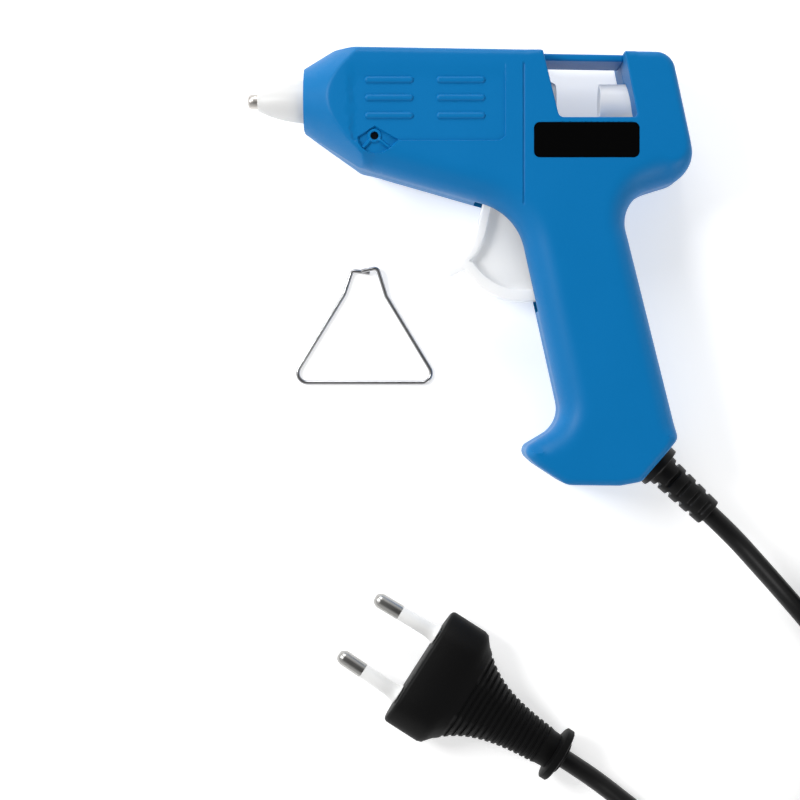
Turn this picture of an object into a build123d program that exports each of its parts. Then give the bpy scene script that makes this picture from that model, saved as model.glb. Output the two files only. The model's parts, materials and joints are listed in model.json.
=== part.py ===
from build123d import *
import os
from math import atan, cos, degrees, pi, radians, sin, tan

# Hobby glue gun lying on its right side. +X points to the rear, +Y to the top of the barrel,
# +Z up through the left side. Millimetres.

# Housing
HALF = 12.5  # half the housing's thickness, and the height of the parting plane
WALL = 2.2
EDGE = 2.0  # rounding where a shell's side meets its rim
AXIS_Y = 42.6  # height of the barrel's axis above the origin
NOSE_X = -42.8  # front face of the housing
NOSE_R = 8.2
NOSE_OPENING_R = 6.0
PANEL_DEPTH = 0.4  # the ribbed panel is sunk by this, its ribs are level with the side
RIB_LENGTH, RIB_WIDTH, RIB_PITCH = 12.3, 1.6, 4.5
LABEL_X, LABEL_Y = (15.6, 42.2), (26.7, 35.6)
LABEL_SINK = 0.5
SCREWS = [(-28.0, 51.7), (46.0, 50.4), (35.0, 10.0), (27.0, -49.0)]
RIBS_X = (-37.4, -11.6)  # inner ribs that carry the melt chamber
STAND_HOLE = (-24.6, 32.3)
STAND_HOLE_R = 1.05
POCKET_DEPTH = 1.3

# Window through the housing, with a narrow rail over it
WINDOW = [(18.3, 52.1), (38.7, 52.1), (41.8, 36.9), (22.0, 36.9)]
TUNNEL_WALL = 1.5
RAIL_HALF = 6.9

# Trigger and feed
PIVOT = (9.0, 19.3)
PULL = 26.0  # degrees of trigger travel
ARM = 13.2  # from the trigger's pin up to the carriage's cross pin
PIN_R, RUN_GAP = 1.5, 0.06
TRIGGER_HALF, WEB_HALF = 4.2, 1.5
SLOT_HALF = 4.6
SWEEP_CENTRE, SWEEP_R = (13.6, 9.07), 18.2  # the trigger's lower edge is an arc
CROSS_PIN_R = 1.4
CARRIAGE_X = (33.2, 49.2)
CARRIAGE_R, STICK_BORE_R = 4.45, 3.8
GUIDE_X = (49.8, 52.4)  # collar in the rear wall that guides the stick in
BAR_Y = (30.5, 34.5)
SPRING_X = (-2.0, 9.8)

# Cord
CORD_R = 2.5
RELIEF_START = (47.0, -50.0)
RELIEF_ANGLE = -43.0
RELIEF_LENGTH = 19.8
COIL_CENTRE = (128.5, -89.6)
COIL_R = 27.5  # middle of its three turns across
COIL_HALF_WIDTH = 7.5
COIL_LIFT = 0.8  # the tie passes under the turns
COIL_HEIGHT = 9.4  # two layers

# Plug, in its own frame: +X out of its back along the cord, +Y across
PLUG_FACE = (-13.4, -103.7)
PLUG_ANGLE = -32.7
PLUG_HALF = 6.85
PIN_PITCH, PIN_TIP_PITCH, PLUG_PIN_R, PLUG_PIN_LENGTH = 18.6, 17.6, 2.0, 19.0
SLEEVE_LENGTH = 11.4
PLUG_LENGTH = 45.0

# Stand
STAND_R = 0.55


# ---------------------------------------------------------------- small helpers

def block(x, y, z):
    """Box between three pairs of limits."""
    size = [limits[1] - limits[0] for limits in (x, y, z)]
    return Pos(sum(x) / 2, sum(y) / 2, sum(z) / 2) * Box(*size)


def rod_z(x, y, r, z0, z1):
    return Pos(x, y, (z0 + z1) / 2) * Cylinder(r, z1 - z0)


def rod_x(r, x0, x1, y=AXIS_Y, z=HALF):
    return Pos((x0 + x1) / 2, y, z) * Rot(0, 90, 0) * Cylinder(r, x1 - x0)


def plate(points, z0, z1):
    """Flat plate with straight edges."""
    return Pos(0, 0, z0) * extrude(make_face(Polyline(*points, close=True)), z1 - z0)


def turned(profile):
    """Solid of revolution about the barrel's axis from (x, radius) points."""
    return Pos(0, AXIS_Y, HALF) * revolve(make_face(Polyline(*profile, close=True)), Axis.X)


def tube(points, radii, r):
    """Round wire or cord of radius r along straight runs joined by arcs."""
    path = FilletPolyline(*points, radius=radii)
    start = Plane(origin=path @ 0, z_dir=path % 0)
    solid = sweep(start * Circle(r), path=path)
    print("tube", round(path.length, 1), "volume ratio", round(solid.volume / (pi * r * r * path.length), 4))
    return solid


def cord_radii(points):
    """The largest arc that both runs at each corner allow."""
    radii = []
    for a, b, c in zip(points, points[1:], points[2:]):
        before, after = Vector(b) - Vector(a), Vector(c) - Vector(b)
        turn = before.get_angle(after)
        radii.append(0.45 * min(before.length, after.length) / tan(radians(turn / 2)))
    print("cord radii", [round(r, 1) for r in radii])
    return radii


def along(start, angle, distance, side=0.0):
    """Point at a distance along a direction in plan, and to its left."""
    a = radians(angle)
    return (start[0] + distance * cos(a) - side * sin(a), start[1] + distance * sin(a) + side * cos(a))


# ---------------------------------------------------------------- housing

def outline():
    """Side view of the housing: corner points and the radius of each corner."""
    corners = [
        ((NOSE_X, 34.4), 2.3), ((NOSE_X, 50.9), 2.3), ((-35.8, 55.0), 3), ((50.5, 53.55), 5),
        ((57.1, 22.75), 7.5), ((37.25, 16.5), 9), ((52.4, -44.2), 2.5), ((42.9, -55.1), 2.3),
        ((37.5, -56.1), 5), ((24.0, -55.95), 5), ((16.3, -50.9), 4), ((12.2, -47.2), 2.3),
        ((23.5, -40.3), 7.5), ((11.6, 13.25), 15), ((-28.4, 24.75), 4),
    ]
    return make_face(FilletPolyline(*[c[0] for c in corners], radius=[c[1] for c in corners], close=True))


def nose_cone(shrink):
    """Oblique cone that rounds the front of the housing down to its nozzle ring."""
    reach = 24.0
    front = Plane(origin=(NOSE_X, 42.7, 0), z_dir=(1, 0, 0)) * Circle(NOSE_R - shrink)
    back = Plane(origin=(NOSE_X + reach, 40.8, 0), z_dir=(1, 0, 0)) * Circle(NOSE_R + 0.68 * reach - shrink)
    rear = block((NOSE_X + reach - 0.01, 70), (-70, 70), (-20, 20))
    return loft([front, back], ruled=True) + rear


def half_body():
    """One side of the housing, solid, from the parting plane up."""
    slab = extrude(outline(), HALF)
    rim = slab.edges().filter_by_position(Axis.Z, HALF - 0.01, HALF + 0.01)
    return chamfer(rim, EDGE) & nose_cone(0)


def half_cavity():
    inner = offset(outline(), -WALL, kind=Kind.INTERSECTION)
    return extrude(inner, HALF - WALL) & nose_cone(WALL * 1.15)


def ribs_and_panel():
    """The sunk panel as a cut, less its six ribs."""
    top = HALF
    panel = plate([(-28.5, 31.0), (8.4, 31.0), (8.4, 50.0), (-30.0, 50.0)], top - PANEL_DEPTH, top + 1)
    for column in (-20.9, -2.8):
        for row in range(3):
            rib = SlotOverall(RIB_LENGTH, RIB_WIDTH)
            panel -= Pos(column, 37.3 + row * RIB_PITCH, top - 1) * extrude(rib, 3)
    return panel


def stand_pocket():
    """Fan-shaped recess that lets the wire stand swing a little."""
    x, y = STAND_HOLE
    fan = make_face(Polyline((x, y + 2.6), (x - 4.4, y - 0.2), (x - 3.2, y - 3.4), (x, y - 4.7),
                             (x + 3.6, y - 3.0), (x + 6.2, y - 1.0), close=True))
    return Pos(0, 0, HALF - POCKET_DEPTH) * extrude(fan, 3) + rod_z(x, y, STAND_HOLE_R, 0, HALF + 1)


def window_cut():
    """Opening through the side, and the notch beside the rail on top of it."""
    opening = plate(WINDOW, -1, HALF + 1)
    (x0, top), (x1, _) = WINDOW[0], WINDOW[1]
    notch = plate([(x0, top - 0.01), (x1, top - 0.01), (x1 - 0.6, 60), (x0 - 0.6, 60)], RAIL_HALF, HALF + 1)
    return opening + notch


def tunnel():
    """Walls round the window between the two sides, up to the top rail."""
    t = TUNNEL_WALL
    (a, top), (b, _), (c, low), (d, _) = WINDOW
    return plate([(a - t, top + 6), (b + t, top + 6), (c + t, low - t), (d - t, low - t)], 0, HALF)


def fittings(boss_r):
    """What stands inside a shell: window walls, chamber ribs, bosses for the pins and screws, a shelf."""
    pieces = [tunnel(), rod_z(*PIVOT, 3.2, 4.9, HALF), rod_z(*STAND_HOLE, 4.0, HALF - WALL - 1.4, HALF),
              block((23.5, 26.5), (28.6, 30.2), (0, HALF))]
    for x in RIBS_X:
        pieces.append(block((x, x + 1.4), (37.5, 56), (0, HALF)) - barrel_rod(5.86, x - 1, x + 3))
    return pieces + [rod_z(x, y, boss_r, 0, HALF) for x, y in SCREWS]


def barrel_rod(r, x0, x1):
    """Rod on the barrel's axis, in the half's own frame: the parting plane at zero."""
    return rod_x(r, x0, x1, z=0)


def shell_half(boss_r):
    """What both shells share, from the parting plane up, before the fittings of each side."""
    cavity = half_cavity()
    for piece in fittings(boss_r):
        cavity -= piece
    solid = half_body() - cavity
    solid -= rod_z(*PIVOT, PIN_R + 0.02, 0, 9.0)
    solid -= window_cut()
    solid -= ribs_and_panel()
    solid -= stand_pocket()
    solid -= barrel_rod(NOSE_OPENING_R, NOSE_X - 1, NOSE_X + 6)
    solid -= barrel_rod(5.3, 14, 22.5)
    solid -= barrel_rod(CARRIAGE_R + 0.35, 37, 46)
    solid -= block((35.8, 46), (BAR_Y[0], AXIS_Y), (-1, 3.6))
    solid -= barrel_rod(5.25, GUIDE_X[0] - 1.2, 60) + barrel_rod(6.4, GUIDE_X[0] - 1.2, GUIDE_X[0] + 0.75)
    slot = [(-1.1, 10), (-1.1, 19.9), (9.5, 17.8), (15.4, 13), (20.9, -11.7), (10, -11.7)]
    solid -= plate(slot, -1, SLOT_HALF)
    gx, gy = along(RELIEF_START, RELIEF_ANGLE, -1)
    solid -= Pos(gx, gy, 0) * Rot(0, 0, RELIEF_ANGLE) * Rot(0, 90, 0) * Cylinder(3.65, 8)
    return solid


def left_shell():
    solid = shell_half(2.7)
    for x, y in SCREWS:
        solid -= rod_z(x, y, 1.27, -1, 7.5)
    label = Pos(sum(LABEL_X) / 2, sum(LABEL_Y) / 2, HALF - LABEL_SINK) * extrude(label_outline(0.1), 2)
    solid = Pos(0, 0, HALF) * (solid - label)
    post = block((SPRING_X[0] - 1.4, SPRING_X[0]), (29.5, 35.2), (HALF - 2.6, 2 * HALF - 1.5))
    return solid + post


def right_shell():
    solid = shell_half(3.2)
    for x, y in SCREWS:
        solid -= rod_z(x, y, 1.45, -1, HALF + 1)
        solid -= rod_z(x, y, 2.3, HALF - 4.5, HALF + 1)
    solid = Pos(0, 0, HALF) * mirror(solid, Plane.XY)
    for x, y in clamp_holes():
        solid += rod_z(x, y, 2.3, 1.5, HALF + CORD_R)
        solid -= rod_z(x, y, 1.14, 7.0, 20)
    cx, cy = along(RELIEF_START, RELIEF_ANGLE, -8.6)
    saddle = Pos(cx, cy, (1.5 + HALF - CORD_R) / 2) * Rot(0, 0, RELIEF_ANGLE)
    return solid + saddle * Box(4, 6, HALF - CORD_R - 1.5)


def clamp_holes():
    return [along(RELIEF_START, RELIEF_ANGLE, -8.6, side) for side in (-5.2, 5.2)]


def shell_screws():
    group = []
    for x, y in SCREWS:
        screw = rod_z(x, y, 1.25, 6.0, 19.5) + rod_z(x, y, 2.1, 4.5 - 1.9, 4.5)
        cross = Box(2.6, 0.6, 1.6) + Box(0.6, 2.6, 1.6)
        group.append(screw - Pos(x, y, 2.6) * cross + rod_z(x, y, 1.25, 4.4, 6.1))
    return Compound(children=group)


def label_outline(grow=0.0):
    return RectangleRounded(LABEL_X[1] - LABEL_X[0] + 2 * grow, LABEL_Y[1] - LABEL_Y[0] + 2 * grow, 1.5 + grow)


def blank_label():
    place = Pos(sum(LABEL_X) / 2, sum(LABEL_Y) / 2, 2 * HALF - LABEL_SINK)
    return place * extrude(label_outline(), LABEL_SINK)


# ---------------------------------------------------------------- hot end

def nozzle_tip():
    return turned([(-57.3, 0.9), (-57.3, 1.3), (-56.7, 1.85), (-54.2, 1.95), (-44.0, 3.6), (-40.2, 3.6),
                   (-40.2, 2.9), (-34.2, 2.9), (-34.2, 2.0), (-48.0, 2.0), (-53.0, 0.9)])


def nozzle_cover():
    return turned([(-54.9, 1.95), (-54.9, 2.45), (-53.2, 3.25), (-50.6, 4.15), (-47.6, 4.95), (-44.6, 5.45),
                   (-42.0, 5.6), (-40.6, 5.6), (-40.6, 3.65), (-44.0, 3.65), (-54.2, 1.97)])


def melt_chamber():
    """Cast block: stick bore on the barrel's axis, heater pocket under it, hose spigot behind."""
    body = rod_x(5.8, -40.0, -10.0) + rod_x(5.0, -10.1, 0.0)
    body += block((-30.5, -12.5), (29.6, 38.5), (HALF - 5.8, HALF + 5.8))
    body -= turned([(-41, 0), (-41, 2.92), (-34.1, 2.92), (-31.0, STICK_BORE_R), (1, STICK_BORE_R), (1, 0)])
    return body - block((-29.5, -12), (31.2, 35.2), (HALF - 4.8, HALF + 4.8))


def heater_insulation():
    outer = block((-29.3, -12.8), (31.6, 35.2), (HALF - 4.7, HALF + 4.7))
    return outer - block((-30, -12), (31.9, 34.9), (HALF - 4.4, HALF + 4.4))


def ptc_heater():
    return block((-28.5, -14.0), (32.3, 34.5), (HALF - 4.1, HALF + 4.1))


def heater_contacts():
    plates = []
    for y in (31.9, 34.5):
        tab = block((-13.1, -8.0), (y, y + 0.4), (HALF - 1.3, HALF + 1.3))
        plates.append(block((-29.0, -13.0), (y, y + 0.4), (HALF - 4.2, HALF + 4.2)) + tab)
    return Compound(children=plates)


def heater_clip():
    return block((-29.3, -12.0), (31.2, 31.6), (HALF - 3.5, HALF + 3.5)) + \
        block((-12.1, -11.6), (30.0, 31.6), (HALF - 3.5, HALF + 3.5))


def inlet_sleeve():
    return turned([(-9.0, 5.0), (-9.0, 6.3), (1.0, 6.3), (3.5, 5.0), (21.0, 5.0), (22.0, 4.4), (22.0, 3.8),
                   (0.6, 3.8), (0.0, 5.0)])


def sleeve_clip():
    ring = rod_x(7.0, -6.4, -3.4) - rod_x(6.3, -7, -3)
    lugs = block((-5.9, -3.9), (AXIS_Y + 6.6, AXIS_Y + 9.2), (HALF - 1.6, HALF + 1.6))
    return ring + lugs - block((-7, -3), (AXIS_Y + 6, AXIS_Y + 10), (HALF - 0.5, HALF + 0.5))


def inlet_ring():
    """Collar that guides the stick in through the rear of the housing."""
    front, back = GUIDE_X
    return turned([(front, STICK_BORE_R), (front, 6.2), (front + 0.65, 6.2), (front + 0.65, 5.2), (back, 5.2),
                   (back, STICK_BORE_R + 0.3), (back - 0.3, STICK_BORE_R)])


# ---------------------------------------------------------------- trigger and feed

def trigger_outline():
    cx, cy = SWEEP_CENTRE
    start, end = radians(213.1), radians(282.4)
    mid = (start + end) / 2
    points = [(cx + SWEEP_R * cos(a), cy + SWEEP_R * sin(a)) for a in (start, mid, end)]
    front = Spline((4.2, 18.8), (2.6, 14.0), (0.7, 6.15), (-6.1, -1.0))
    tip = ThreePointArc((-6.1, -1.0), (-6.2, -2.3), (-4.9, -2.75))
    notch = Line((-4.9, -2.75), points[0])
    sweep_edge = ThreePointArc(*points)
    back = Polyline(points[2], (13.2, 18.5), (4.2, 18.8))
    return make_face([front, tip, notch, sweep_edge, back])


def trigger():
    face = trigger_outline()
    wide = 2 * TRIGGER_HALF
    blade = face & (face - Pos(2.5, 0.5) * face)
    lower = face - Pos(*SWEEP_CENTRE) * Circle(SWEEP_R - 2.9)
    lower = lower & Pos(13, -10) * Rectangle(36, 22)
    solid = extrude(face, WEB_HALF, both=True) + extrude(blade, wide / 2, both=True)
    solid += extrude(lower, wide / 2, both=True)
    solid += rod_z(*PIVOT, 3.6, -TRIGGER_HALF, TRIGGER_HALF)
    lean = PULL / 2
    arm = Pos(*PIVOT) * Rot(0, 0, -lean)
    for side in (-1, 1):
        tine = arm * (Pos(0, 8.0, side * 3.4) * Box(6.6, 16.0, 1.6))
        tine -= arm * (Pos(0, 14.0, side * 3.4) * Box(2 * CROSS_PIN_R + 0.6, 6.0, 3))
        solid += tine
    solid -= rod_z(*PIVOT, PIN_R + RUN_GAP, -9, 9)
    return Pos(0, 0, HALF) * solid


def trigger_pin():
    return rod_z(*PIVOT, PIN_R, HALF - 8.8, HALF + 8.8)


def feed_carriage():
    """White barrel in the window, its leg and drive bar underneath, and the cross pin for the fork."""
    x0, x1 = CARRIAGE_X
    barrel = rod_x(CARRIAGE_R, x0, x1)
    leg = block((x1 - 3.8, x1), (BAR_Y[0], AXIS_Y), (HALF - 3, HALF + 3))
    bar = block((SPRING_X[1], x1), BAR_Y, (HALF - 2.2, HALF + 2.2))
    cross_x = PIVOT[0] + ARM * tan(radians(PULL / 2))
    pin = rod_z(cross_x, PIVOT[1] + ARM, CROSS_PIN_R, HALF - TRIGGER_HALF, HALF + TRIGGER_HALF)
    solid = barrel + leg + bar + pin - rod_x(STICK_BORE_R, x0 - 1, x1 + 1)
    jaw_slot = block((41.6, 46.4), (35.5, AXIS_Y), (HALF - 1.5, HALF + 1.5))
    ears = block((42.4, 47.3), (34.4, 38.9), (HALF - 3, HALF + 3))
    solid += ears - rod_x(STICK_BORE_R, x0 - 1, x1 + 1)
    solid -= jaw_slot
    return solid - rod_z(*JAW_PIVOT, 0.72, 0, 25)


JAW_PIVOT = (44.6, 36.6)


def grip_jaw():
    """Toothed lever under the stick: the pull tips it up to bite."""
    x, y = JAW_PIVOT
    shape = [(x - 1.3, y - 0.8), (x + 1.1, y - 0.8), (x + 1.1, y + 2.2), (x + 0.6, y + 1.7), (x + 0.1, y + 2.2),
             (x - 0.4, y + 1.7), (x - 0.9, y + 2.2), (x - 1.3, y + 1.7)]
    return plate(shape, HALF - 1.2, HALF + 1.2) - rod_z(x, y, 0.60 + RUN_GAP, 0, 25)


def jaw_pin():
    return rod_z(*JAW_PIVOT, 0.60, HALF - 3, HALF + 3)


def return_spring():
    """Compression spring between a post in the left shell and the end of the drive bar."""
    x0, x1 = SPRING_X
    wire = 0.3
    turns = 5.5
    length = x1 - x0 - 2 * wire
    coil = Helix(pitch=length / turns, height=length, radius=1.6)
    section = Plane(origin=coil @ 0, z_dir=coil % 0) * Circle(wire)
    spring = sweep(section, path=coil, is_frenet=True)
    return Pos(x0 + wire, sum(BAR_Y) / 2, HALF) * Rot(0, 90, 0) * spring


# ---------------------------------------------------------------- wiring inside

def leads():
    """Two insulated leads from the heater's tabs, past the trigger, down to the cord."""
    end = along(RELIEF_START, RELIEF_ANGLE, -15)
    made = []
    for side, y in ((1.2, 34.7), (-1.2, 32.1)):
        shift = (y - 34.7) * 0.95
        last = along(end, RELIEF_ANGLE, 0, side)
        before = along(end, RELIEF_ANGLE, -4, side)
        points = [(-8.0, y, HALF), (-5.2, y, HALF), (-5.2, y, 5.2), (6 + shift * 0.4, 31.5 + shift, 5.2),
                  (19 + shift, 25 + shift, 5.2), (25 + shift, 12, 5.2), (30 + shift, -8, 6.0),
                  (33.2 + shift, -22, 10.0), (*before, HALF), (*last, HALF)]
        made.append(tube(points, [1.3, 1.3, 4, 8, 8, 8, 5, 1.5], 0.8))
    return made


def wire_splices():
    """A crimp sleeve on each lead."""
    group = []
    for x, y in ((27.8, 0.8), (25.3, 0.8)):
        away = Location((x, y, 5.65), (0, 0, 0))
        tilt = degrees(atan(0.8 / 20))
        sleeve = Rot(0, 0, -degrees(atan(20 / 5))) * Rot(0, 90 - tilt, 0) * (Cylinder(1.2, 6) - Cylinder(0.83, 7))
        group.append(away * sleeve)
    return Compound(children=group)


def in_cord_line(distance):
    x, y = along(RELIEF_START, RELIEF_ANGLE, distance)
    return Pos(x, y, HALF) * Rot(0, 0, RELIEF_ANGLE) * Rot(0, 90, 0)


def cord_tail():
    """The end of the cord inside the housing and its strain relief."""
    return in_cord_line((RELIEF_LENGTH - 15) / 2) * Cylinder(CORD_R, RELIEF_LENGTH + 15)


def cord_clamp():
    place = Pos(*along(RELIEF_START, RELIEF_ANGLE, -8.6)) * Rot(0, 0, RELIEF_ANGLE)
    bar = place * Pos(0, 0, HALF + CORD_R + 1.1) * Box(5, 15, 2.2)
    for x, y in clamp_holes():
        bar -= rod_z(x, y, 1.3, 0, 25)
    return bar


def clamp_screws():
    low = HALF + CORD_R
    return Compound(children=[rod_z(x, y, 1.1, 8.0, low + 2.3) + rod_z(x, y, 2.1, low + 2.2, low + 3.6)
                              for x, y in clamp_holes()])


def strain_relief():
    """Moulded boot: inner flange, neck through the wall, collar, and a notched taper."""
    length = RELIEF_LENGTH
    profile = [(-4.8, 0), (-4.8, 5.0), (-3.0, 5.0), (-3.0, 3.6), (0.35, 3.6), (0.35, 5.85), (2.9, 5.85),
               (2.9, 4.3), (length, 3.75), (length, 0)]
    boot = revolve(make_face(Polyline(*profile, close=True)), Axis.X)
    for step in range(4):
        x = 5.2 + step * 3.6
        for side in (-1, 1):
            boot -= Pos(x, side * 4.6, 0) * Box(1.1, 3.0, 12)
            boot -= Pos(x + 1.8, 0, side * 4.6) * Box(1.1, 12, 3.0)
    boot -= Rot(0, 90, 0) * Cylinder(CORD_R + 0.05, 80)
    return Pos(*RELIEF_START, HALF) * Rot(0, 0, RELIEF_ANGLE) * boot


# ---------------------------------------------------------------- free cord

def cord_routes():
    """Points of the two stretches that aren't coiled."""
    gx, gy = along(RELIEF_START, RELIEF_ANGLE, RELIEF_LENGTH)
    gun_side = [(gx, gy, HALF), (*along(RELIEF_START, RELIEF_ANGLE, RELIEF_LENGTH + 8), HALF), (74.6, -76.6, 9.0),
                (83.0, -85.4, 4.0), (91.5, -95.2, 2.6),
                (97.5, -103.6, 2.9), (104.5, -111.5, 3.3)]
    px, py = along(PLUG_FACE, PLUG_ANGLE, PLUG_LENGTH)
    plug_side = [(96.0, -89.6, 7.7), (95.9, -97.2, 8.7), (96.0, -105.8, 8.5), (95.8, -116.5, 4.6),
                 (94.6, -128.5, 2.6), (91.0, -142.0, 2.5), (82.0, -151.5, 2.5), (68.5, -154.6, 2.5),
                 (56.5, -151.2, 2.5), (46.5, -144.7, 2.7), (37.6, -137.4, 4.9),
                 (*along(PLUG_FACE, PLUG_ANGLE, PLUG_LENGTH + 8), PLUG_HALF), (px, py, PLUG_HALF)]
    return gun_side, plug_side


def cord_coil():
    """Outer shape of the wound turns."""
    ring = Cylinder(COIL_R + COIL_HALF_WIDTH, COIL_HEIGHT)
    ring -= Cylinder(COIL_R - COIL_HALF_WIDTH, COIL_HEIGHT + 1)
    return Pos(*COIL_CENTRE, COIL_LIFT + COIL_HEIGHT / 2) * ring


def coil_tie():
    """Strap round the section of the coil, on the side away from the gun."""
    outer = Box(2 * COIL_HALF_WIDTH + 2.2, 6.0, COIL_HEIGHT + 2 * COIL_LIFT)
    inner = Box(2 * COIL_HALF_WIDTH + 0.4, 8.0, COIL_HEIGHT)
    return Pos(COIL_CENTRE[0] + COIL_R, COIL_CENTRE[1], COIL_LIFT + COIL_HEIGHT / 2) * (outer - inner)


# ---------------------------------------------------------------- plug

def plug_frame():
    return Pos(*PLUG_FACE, PLUG_HALF) * Rot(0, 0, PLUG_ANGLE)


def plug_body():
    plan = [(0, 17.0), (11.2, 17.0), (14.5, 13.0), (20.0, 9.6), (28.0, 6.8), (39.0, 4.9), (PLUG_LENGTH, 4.3)]
    plan += [(x, -y) for x, y in reversed(plan)]
    side = [(0, PLUG_HALF), (11.2, PLUG_HALF), (39.0, 4.6), (PLUG_LENGTH, 4.2)]
    side += [(x, -z) for x, z in reversed(side)]
    solid = extrude(make_face(Polyline(*plan, close=True)), PLUG_HALF, both=True)
    profile = extrude(Plane.XZ * make_face(Polyline(*side, close=True)), 20, both=True)
    hexagon = [(17.2, 2.6), (10.9, PLUG_HALF), (-10.9, PLUG_HALF), (-17.2, 2.6)]
    hexagon += [(y, -z) for y, z in reversed(hexagon)]
    bar = extrude(Plane.YZ * make_face(Polyline(*hexagon, close=True)), 60, both=True)
    solid = solid & profile & bar
    flange = Pos(43.0, 0, 0) * Rot(0, 90, 0) * extrude(RectangleRounded(2 * PLUG_HALF - 0.4, 15.0, 6.0), 1.1, both=True)
    solid += flange
    for pin in plug_pin_frames():
        solid -= pin * Pos(3.0, 0, 0) * Rot(0, 90, 0) * Cylinder(1.52, 10.2)
    return plug_frame() * solid


def plug_pin_frames():
    tilt = degrees(atan((PIN_PITCH - PIN_TIP_PITCH) / 2 / PLUG_PIN_LENGTH))
    return [Pos(0, side * PIN_PITCH / 2, 0) * Rot(0, 0, side * tilt) for side in (1, -1)]


def plug_pins():
    tip = PLUG_PIN_LENGTH
    profile = [(-tip, 0), (-tip, 1.0), (-tip + 0.5, 1.6), (-tip + 1.4, PLUG_PIN_R), (-SLEEVE_LENGTH, PLUG_PIN_R),
               (-SLEEVE_LENGTH, 1.5), (7.9, 1.5), (7.9, 0)]
    pin = revolve(make_face(Polyline(*profile, close=True)), Axis.X)
    return Compound(children=[plug_frame() * frame * pin for frame in plug_pin_frames()])


def plug_pin_sleeves():
    profile = [(-SLEEVE_LENGTH, 1.52), (-SLEEVE_LENGTH, 1.93), (-2.2, 1.97), (-0.6, 2.5), (-0.5, 2.75),
               (-0.35, 2.75), (-0.35, 1.52)]
    sleeve = revolve(make_face(Polyline(*profile, close=True)), Axis.X)
    return Compound(children=[plug_frame() * frame * sleeve for frame in plug_pin_frames()])


# ---------------------------------------------------------------- stand

def wire_stand():
    """Bent wire bail, taken off and lying beside the gun. One bent-in end lies on the other."""
    low, over = STAND_R, 3.2 * STAND_R
    points = [(-26.1, -0.8, low), (-30.8, -0.2, low), (-32.9, -6.5, low), (-47.1, -29.8, low), (-8.0, -29.8, low),
              (-21.8, -6.9, low), (-24.1, 0.5, over), (-28.3, -0.4, over)]
    return tube(points, [1.2, 2.0, 2.5, 2.5, 2.0, 1.2], STAND_R)


# ---------------------------------------------------------------- files

os.makedirs("parts", exist_ok=True)

lead_live, lead_neutral = leads()
gun_route, plug_route = cord_routes()

nodes = {
    "left_shell": left_shell(),
    "right_shell": right_shell(),
    "shell_screws": shell_screws(),
    "blank_label": blank_label(),
    "nozzle_tip": nozzle_tip(),
    "nozzle_cover": nozzle_cover(),
    "melt_chamber": melt_chamber(),
    "heater_insulation": heater_insulation(),
    "ptc_heater": ptc_heater(),
    "heater_contacts": heater_contacts(),
    "heater_clip": heater_clip(),
    "inlet_sleeve": inlet_sleeve(),
    "sleeve_clip": sleeve_clip(),
    "inlet_ring": inlet_ring(),
    "trigger": trigger(),
    "trigger_pin": trigger_pin(),
    "feed_carriage": feed_carriage(),
    "grip_jaw": grip_jaw(),
    "jaw_pin": jaw_pin(),
    "return_spring": return_spring(),
    "lead_live": lead_live,
    "lead_neutral": lead_neutral,
    "wire_splices": wire_splices(),
    "cord_tail": cord_tail(),
    "cord_clamp": cord_clamp(),
    "clamp_screws": clamp_screws(),
    "strain_relief": strain_relief(),
    "cord_run_gun": tube(gun_route, cord_radii(gun_route), CORD_R),
    "cord_coil": cord_coil(),
    "coil_tie": coil_tie(),
    "cord_run_plug": tube(plug_route, cord_radii(plug_route), CORD_R),
    "plug_body": plug_body(),
    "plug_pins": plug_pins(),
    "plug_pin_sleeves": plug_pin_sleeves(),
    "wire_stand": wire_stand(),
}

for name, solid in nodes.items():
    export_step(solid, f"parts/{name}.step")
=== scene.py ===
"""Hobby glue gun lying on its right side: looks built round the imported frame.

+X points to the gun's rear, +Y to the top of the barrel, +Z up through its left side. Metres, with
the helpers' plan sizes in millimetres where they are named so.
"""

import json
from math import ceil, cos, exp, pi, radians, sin, tan

import bpy
import numpy as np
from mathutils import Matrix, Vector
from mathutils.geometry import delaunay_2d_cdt
from mathutils.kdtree import KDTree


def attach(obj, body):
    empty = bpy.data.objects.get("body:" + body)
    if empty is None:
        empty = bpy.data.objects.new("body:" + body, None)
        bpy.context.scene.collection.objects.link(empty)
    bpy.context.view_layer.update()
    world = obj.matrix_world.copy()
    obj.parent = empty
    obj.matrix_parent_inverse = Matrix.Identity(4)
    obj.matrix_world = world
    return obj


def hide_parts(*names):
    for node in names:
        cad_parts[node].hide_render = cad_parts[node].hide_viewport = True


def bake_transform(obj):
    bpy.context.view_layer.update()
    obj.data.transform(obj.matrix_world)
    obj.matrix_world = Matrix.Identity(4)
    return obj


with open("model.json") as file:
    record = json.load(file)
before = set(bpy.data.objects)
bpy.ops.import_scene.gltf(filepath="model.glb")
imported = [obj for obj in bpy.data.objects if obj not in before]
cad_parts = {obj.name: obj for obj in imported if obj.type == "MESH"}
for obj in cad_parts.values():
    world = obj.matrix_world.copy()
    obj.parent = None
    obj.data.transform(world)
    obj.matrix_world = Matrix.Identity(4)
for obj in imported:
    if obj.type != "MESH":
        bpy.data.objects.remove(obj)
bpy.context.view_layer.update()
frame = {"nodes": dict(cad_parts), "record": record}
MM = 0.001
nodes = frame["nodes"]


# ------------------------------------------------------------------ camera and light

EYE, LENS = (-0.01814, -0.03442, 0.5), 84.9


def camera():
    data = bpy.data.cameras.new("camera")
    data.lens = LENS
    data.sensor_width = 36
    data.clip_start = 0.02
    eye = bpy.data.objects.new("camera", data)
    eye.location = EYE
    bpy.context.scene.collection.objects.link(eye)
    bpy.context.scene.camera = eye


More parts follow.
